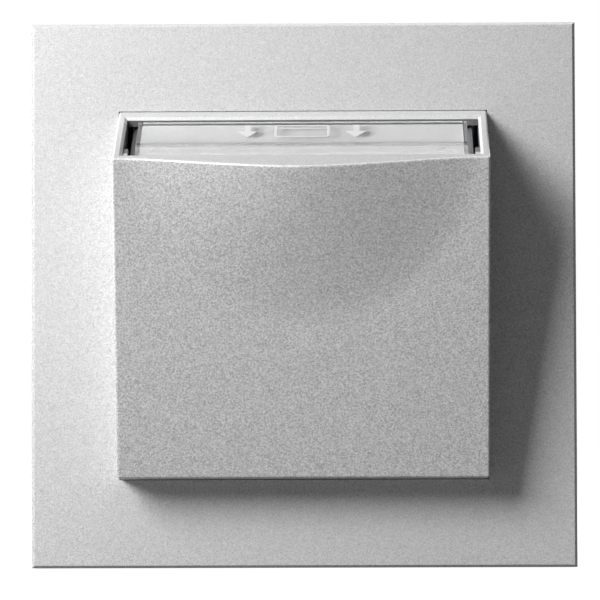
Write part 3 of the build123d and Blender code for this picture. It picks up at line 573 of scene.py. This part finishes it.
def makeSign():
    shape = bmesh.new()
    card = addBar(shape, (0, 0), sign["cardSize"])
    roundOff(shape, card, sign["cardCorner"], sign["cornerSteps"], "VERTICES")
    inner = shape.faces[:]
    bmesh.ops.inset_region(
        shape,
        faces=inner,
        thickness=sign["stroke"],
        use_boundary=True,
        use_even_offset=True,
    )
    bmesh.ops.delete(shape, geom=inner, context="FACES_ONLY")
    # the stripe's ends reach a little into the card's outline
    width, height = sign["cardSize"]
    stripeWidth = width - 2 * (1 - sign["stripeOverlap"]) * sign["stroke"]
    addBar(shape, (0, height / 2 - sign["stripe"]), (stripeWidth, sign["stroke"]))
    for side in (-1, 1):
        addArrow(shape, side * sign["arrowPlace"])
    bmesh.ops.recalc_face_normals(shape, faces=shape.faces)
    raiseFaces(shape, shape.faces[:], sign["thickness"], keepOld=True)
    shape.transform(roofPlane(sign["place"], wedge["glassRecess"] + sign["sunk"]))
    finishPiece("cardSign", shape, "signPlastic")


makeSign()
print("sign made")


# slotted screws with rolled threads, in place of the plain ones

screws = {
    "guide_screws": {
        "name": "guideScrewSet",
        "shank": 1.25 * mm,
        "head": 2.3 * mm,
        "height": 1.2 * mm,
        "columns": (-1, 1),
        "rows": (0,),
        "way": 1,  # the shank points to the back
    },
    "cover_screws": {
        "name": "coverScrewSet",
        "shank": 1.25 * mm,
        "head": 2.3 * mm,
        "height": 1.2 * mm,
        "columns": (-1, 1),
        "rows": (-1, 1),
        "way": 1,  # the shank points to the back
    },
    "terminal_screws": {
        "name": "terminalScrewSet",
        "shank": 1.4 * mm,
        "head": 2.2 * mm,
        "height": 1.2 * mm,
        "columns": (-1, 0, 1),
        "rows": (0,),
        "way": -1,  # the shank points to the front
    },
}
screwHead = {
    "sides": 40,
    "edge": 0.15 * mm,
    "slotWidth": 0.6 * mm,
    "slotDepth": 0.5 * mm,
    "firstSlotDegrees": 37,
    "slotStepDegrees": 71,
}
thread = {
    "pitch": 0.5 * mm,
    "depth": 0.22 * mm,
    "crest": (0.4, 0.6),
    "steps": 20,
    "spareTurns": 2,
    "join": 0.002 * mm,
    "taper": 1.2 * mm,
    "draw": 0.45,
}


def facesAt(shape, height, clearance=0.0):
    # the faces at a height whose middles lie off the line x = 0 by the clearance or more
    centres = {face: face.calc_center_median() for face in shape.faces}
    level = [face for face, centre in centres.items() if abs(centre.z - height) < tiny]
    return [face for face in level if abs(centres[face].x) >= clearance]


def addHead(shape, head, height):
    # a disc in three strips, raised to the slot's floor, then its two sides raised to the top
    bmesh.ops.create_circle(shape, cap_ends=True, segments=screwHead["sides"], radius=head)
    slotHalf = screwHead["slotWidth"] / 2
    for side in (-1, 1):
        bmesh.ops.bisect_plane(
            shape,
            geom=everything(shape),
            plane_co=(side * slotHalf, 0, 0),
            plane_no=(1, 0, 0),
        )
    floor = screwHead["slotDepth"] - height
    raiseFaces(shape, facesAt(shape, 0), floor)  # the disc itself stays as the underside
    sides = facesAt(shape, floor, slotHalf)
    raiseFaces(shape, sides, -screwHead["slotDepth"])
    bmesh.ops.delete(shape, geom=sides, context="FACES_ONLY")
    rim = [edge for edge in shape.edges if all(abs(vert.co.z + height) < tiny for vert in edge.verts)]
    roundOff(shape, rim, screwHead["edge"])


def addShank(shape, shank, length):
    # one tooth of the thread, spun past both ends of the shank, cut off there and drawn in at the tip
    root = shank - thread["depth"]
    rise, fall = thread["crest"]
    turns = math.ceil(length / thread["pitch"]) + thread["spareTurns"]
    tooth = [
        shape.verts.new((radius, 0, (share - thread["spareTurns"]) * thread["pitch"]))
        for radius, share in ((root, 0), (shank, rise), (shank, fall), (root, 1))
    ]
    lines = [shape.edges.new(pair) for pair in zip(tooth, tooth[1:])]
    bmesh.ops.spin(
        shape,
        geom=tooth + lines,
        cent=(0, 0, 0),
        axis=(0, 0, 1),
        dvec=(0, 0, thread["pitch"] / thread["steps"]),
        angle=2 * math.pi * turns,
        steps=thread["steps"] * turns,
    )
    bmesh.ops.remove_doubles(shape, verts=shape.verts, dist=thread["join"])
    for place, way in ((0, -1), (length, 1)):
        bmesh.ops.bisect_plane(
            shape,
            geom=everything(shape),
            plane_co=(0, 0, place),
            plane_no=(0, 0, way),
            clear_outer=True,
        )
    bmesh.ops.holes_fill(shape, edges=shape.edges[:], sides=0)
    for vert in shape.verts:
        late = (vert.co.z - length + thread["taper"]) / thread["taper"]
        if late > 0:
            vert.co.xy *= 1 - thread["draw"] * late


def makeScrews(node, kind):
    height = kind["height"]
    low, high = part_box(node)
    reach = high[0] - kind["head"]
    centre = (low[2] + high[2]) / 2
    places = [(x * reach, centre + z * reach) for x in kind["columns"] for z in kind["rows"]]
    seat = low[1] + height if kind["way"] > 0 else high[1] - height
    halves = [bmesh.new(), bmesh.new()]
    addHead(halves[0], kind["head"], height)
    addShank(halves[1], kind["shank"], high[1] - low[1] - height)
    laid = Matrix.Rotation(math.radians(-90 * kind["way"]), 4, "X")
    whole = bmesh.new()
    for number, (x, z) in enumerate(places):
        # each slot came to rest at its own angle
        turned = screwHead["firstSlotDegrees"] + screwHead["slotStepDegrees"] * number
        rest = Matrix.Rotation(math.radians(turned), 4, "Z")
        put = Matrix.Translation((x, seat, z)) @ laid @ rest
        for half in halves:
            mesh = bpy.data.meshes.new("screwHalf")
            half.to_mesh(mesh)
            mesh.transform(put)
            whole.from_mesh(mesh)
            bpy.data.meshes.remove(mesh)
    for half in halves:
        half.free()
    finishPiece(kind["name"], whole, "screwSteel", node)


for node, kind in screws.items():
    makeScrews(node, kind)
print("screws made")


# round wire springs with closed ends, between the socket and the piece that they push back

springs = {
    "plunger_spring": {"name": "plungerCoil", "wire": 0.5 * mm, "turns": 2, "body": "plunger"},
    "blade_spring": {"name": "bladeCoil", "wire": 0.4 * mm, "turns": 4, "body": "contact_arm"},
}
coil = {
    "endTurns": 0.8,
    "endPitch": 1.1,  # in thicknesses of the wire
    "stepsPerTurn": 40,
    "wireSides": 12,
}


def makeSpring(node, kind):
    wire = kind["wire"]
    low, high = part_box(node)
    radius = high[0] - wire / 2
    endRise = coil["endTurns"] * coil["endPitch"] * wire
    openRise = high[1] - low[1] - wire - 2 * endRise
    shape = bmesh.new()
    section = bmesh.ops.create_circle(shape, segments=coil["wireSides"], radius=wire / 2)["verts"]
    bmesh.ops.rotate(shape, verts=section, matrix=Matrix.Rotation(math.radians(90), 3, "Y"))
    bmesh.ops.translate(shape, verts=section, vec=(0, low[1] + wire / 2, radius))
    last = section + edgesOf(section)
    end = (coil["endTurns"], endRise)
    for turns, rise in (end, (kind["turns"], openRise), end):
        steps = round(coil["stepsPerTurn"] * turns)
        last = bmesh.ops.spin(
            shape,
            geom=last,
            cent=(0, 0, 0),
            axis=(0, 1, 0),
            dvec=(0, rise / steps, 0),
            angle=2 * math.pi * turns,
            steps=steps,
        )["geom_last"]
    bmesh.ops.holes_fill(shape, edges=shape.edges[:], sides=0)
    spring = finishPiece(kind["name"], shape, "springSteel", node, body=None)
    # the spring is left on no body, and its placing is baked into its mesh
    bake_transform(spring)


for node, kind in springs.items():
    makeSpring(node, kind)
print("springs made")


# lamp board: phosphor in the lamps' cups, end caps, solder and the raised copper tracks

boardParts = {
    "lampLength": 3.5 * mm,
    "cupDepth": 0.4 * mm,
    "lensRadius": 0.95 * mm,
    "lensDrop": 0.12 * mm,
    "resistorLength": 2.0 * mm,
    "capLength": 0.4 * mm,
    "capOver": 0.03 * mm,
    "capEdge": 0.04 * mm,
    "padLength": 0.5 * mm,
    "padHeight": 0.35 * mm,
    "padInset": 0.4 * mm,
    "padEdge": 0.12 * mm,
    "wireRadius": 0.4 * mm,
    "jointRadius": 0.9 * mm,
    "jointHeight": 0.55 * mm,
    "trackWidth": 0.5 * mm,
    "trackHeight": 0.04 * mm,
    "trackEdge": 0.01 * mm,
}
boardTop = highest("lamp_board")[2]
lampY = middle("lamps").y
lampReach = highest("lamps")[0] - boardParts["lampLength"] / 2
wireReach = highest("board_wires")[0] - boardParts["wireRadius"]
wireY = lowest("board_wires")[1] + boardParts["wireRadius"]


def addBlock(shape, low, high, edge):
    block = bmesh.ops.create_cube(shape, size=1)["verts"]
    low, high = Vector(low), Vector(high)
    bmesh.ops.scale(shape, vec=high - low, verts=block)
    bmesh.ops.translate(shape, vec=(low + high) / 2, verts=block)
    roundOff(shape, edgesOf(block), edge)


def addDome(shape, place, radius, height):
    dome = bmesh.ops.create_uvsphere(shape, u_segments=24, v_segments=12, radius=1)["verts"]
    bmesh.ops.scale(shape, vec=(radius, radius, height), verts=dome)
    bmesh.ops.translate(shape, vec=place, verts=dome)
    whole = dome + edgesOf(dome) + facesOf(dome)
    bmesh.ops.bisect_plane(shape, geom=whole, plane_co=place, plane_no=(0, 0, 1), clear_inner=True)
    bmesh.ops.holes_fill(shape, edges=shape.edges[:], sides=0)


def makeLenses():
    lenses = bmesh.new()
    cupFloor = highest("lamps")[2] - boardParts["cupDepth"]
    height = boardParts["cupDepth"] - boardParts["lensDrop"]
    for x in (-lampReach, 0, lampReach):
        addDome(lenses, (x, lampY, cupFloor), boardParts["lensRadius"], height)
    finishPiece("lampLenses", lenses, "lampLens")


def makeCaps():
    # a metal cap over each end of both resistors
    caps = bmesh.new()
    low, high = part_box("resistors")
    half = boardParts["resistorLength"] / 2
    over = boardParts["capOver"]
    for side in (-1, 1):
        for end in (-1, 1):
            outer = side * (high[0] - half) + end * (half + over)
            ends = sorted((outer, outer - end * boardParts["capLength"]))
            addBlock(
                caps,
                (ends[0], low[1] - over, low[2]),
                (ends[1], high[1] + over, high[2] + over),
                boardParts["capEdge"],
            )
    finishPiece("resistorCaps", caps, "solderTin")


def makeSolder():
    # a pad at each end of a lamp and a joint round each wire
    solder = bmesh.new()
    low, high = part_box("lamps")
    inset = boardParts["padInset"]
    for x in (-lampReach, 0, lampReach):
        for side in (-1, 1):
            edge = x + side * boardParts["lampLength"] / 2
            ends = sorted((edge, edge + side * boardParts["padLength"]))
            addBlock(
                solder,
                (ends[0], low[1] + inset, boardTop),
                (ends[1], high[1] - inset, boardTop + boardParts["padHeight"]),
                boardParts["padEdge"],
            )
    for side in (-1, 1):
        place = (side * wireReach, wireY, boardTop)
        addDome(solder, place, boardParts["jointRadius"], boardParts["jointHeight"])
    finishPiece("solderJoints", solder, "solderTin")


def makeTracks():
    # tracks from lamp to lamp, and from the outer lamps round to the wires
    half = boardParts["trackWidth"] / 2
    padEnd = boardParts["lampLength"] / 2 + boardParts["padLength"]
    near, far = padEnd, lampReach - padEnd
    runs = [
        ((-far, lampY - half), (-near, lampY + half)),
        ((near, lampY - half), (far, lampY + half)),
    ]
    for side in (-1, 1):
        outer = side * (lampReach + padEnd + half)
        start, end = sorted((side * wireReach, outer))
        runs.append(((outer - half, lampY - half), (outer + half, wireY + half)))
        runs.append(((start, wireY - half), (end, wireY + half)))
    tracks = bmesh.new()
    top = boardTop + boardParts["trackHeight"]
    for low, high in runs:
        addBlock(tracks, (*low, boardTop), (*high, top), boardParts["trackEdge"])
    finishPiece("boardTracks", tracks, "boardLacquer")


makeLenses()
makeCaps()
makeSolder()
makeTracks()
print("lamp board dressed")


# floor and background

studio = {
    "floorSize": 6.0,
    "floorDrop": 0.2 * mm,
    "floorColor": (0.12, 0.12, 0.12),
    "floorRoughness": 0.9,
    "viewLevel": 1.0,
    "mirrorLevel": 0.05,
    "worldLevel": 0.015,
}


def studioLevel(tree, plainLevel):
    # pure white to the camera, softer in reflections and through clear parts, plain for the light
    path = addNode(tree, "ShaderNodeLightPath")
    level = plainLevel
    for kind, seenLevel in (
        ("Is Glossy Ray", studio["mirrorLevel"]),
        ("Is Transmission Ray", studio["mirrorLevel"]),
        ("Is Camera Ray", studio["viewLevel"]),
    ):
        level = blendFigures(tree, path.outputs[kind], level, seenLevel)
    return level


def makeFloor():
    shape = bmesh.new()
    bmesh.ops.create_grid(shape, x_segments=1, y_segments=1, size=studio["floorSize"])
    bmesh.ops.translate(shape, verts=shape.verts, vec=(0, 0, cadLow[2] - studio["floorDrop"]))
    mesh = bpy.data.meshes.new("floor")
    shape.to_mesh(mesh)
    shape.free()
    floor = bpy.data.objects.new("floor", mesh)
    scene.collection.objects.link(floor)
    mat, tree, shader = newMaterial("paleFloor", studio["floorColor"], studio["floorRoughness"])
    shader.inputs["Emission Color"].default_value = white
    tree.links.new(studioLevel(tree, 0.0), shader.inputs["Emission Strength"])
    mesh.materials.append(mat)
    return floor


def setWorld():
    world = bpy.data.worlds.new("studio")
    scene.world = world
    world.use_nodes = True
    tree = world.node_tree
    back = tree.nodes["Background"]
    back.inputs["Color"].default_value = white
    tree.links.new(studioLevel(tree, studio["worldLevel"]), back.inputs["Strength"])


makeFloor()
setWorld()


# lamps, that all shine on the middle of the frame

studioLamps = {
    "keyLamp": {"place": (-0.326, -0.326, 0.24), "size": 0.27, "power": 5.1},
    "topLamp": {"place": (0, -0.09, 0.60), "size": 0.4, "power": 0.9},
    "backLamp1": {"place": (0.45, 0.50, 0.40), "size": 0.4, "power": 5.0},
    "backLamp2": {"place": (-0.50, 0.45, 0.15), "size": 0.4, "power": 5.0},
}


def addStudioLamp(name, kind):
    light = bpy.data.lights.new(name, "AREA")
    light.shape = "SQUARE"
    light.size = kind["size"]
    light.energy = kind["power"]
    lamp = bpy.data.objects.new(name, light)
    lamp.location = kind["place"]
    toMiddle = Vector((0, 0, 0)) - Vector(kind["place"])
    lamp.rotation_euler = toMiddle.to_track_quat("-Z", "Y").to_euler()
    scene.collection.objects.link(lamp)


for name, kind in studioLamps.items():
    addStudioLamp(name, kind)


# camera, fitted to the photograph's frame; tilt, turn and roll are in degrees

view = {
    "distance": 600 * mm,
    "focalPixels": 3846,
    "imageWidth": 600,
    "sensorWidth": 36,
    "clip": (0.01, 20),
    "tilt": -1.91,
    "turn": -1.05,
    "roll": 0.23,
    "side": 0.54 * mm,
    "rise": 0.79 * mm,
}


def makeCamera():
    data = bpy.data.cameras.new("photoCamera")
    data.sensor_width = view["sensorWidth"]
    data.lens = view["sensorWidth"] * view["focalPixels"] / view["imageWidth"]
    data.clip_start, data.clip_end = view["clip"]
    camera = bpy.data.objects.new("photoCamera", data)
    scene.collection.objects.link(camera)
    turn = (
        Matrix.Rotation(math.radians(view["roll"]), 3, "Z")
        @ Matrix.Rotation(math.radians(view["turn"]), 3, "Y")
        @ Matrix.Rotation(math.radians(view["tilt"]), 3, "X")
    )
    back = turn.transposed()
    place = back @ Vector((-view["side"], -view["rise"], view["distance"]))
    toFrame = Matrix(((1, 0, 0), (0, 0, -1), (0, 1, 0)))  # right, up, out of the face to X, Z, -Y
    pose = (toFrame @ back).to_4x4()
    pose.translation = toFrame @ place + Vector((0, cadFace, 0))
    camera.matrix_world = pose
    scene.camera = camera


makeCamera()
print("stage, lamps and camera set")
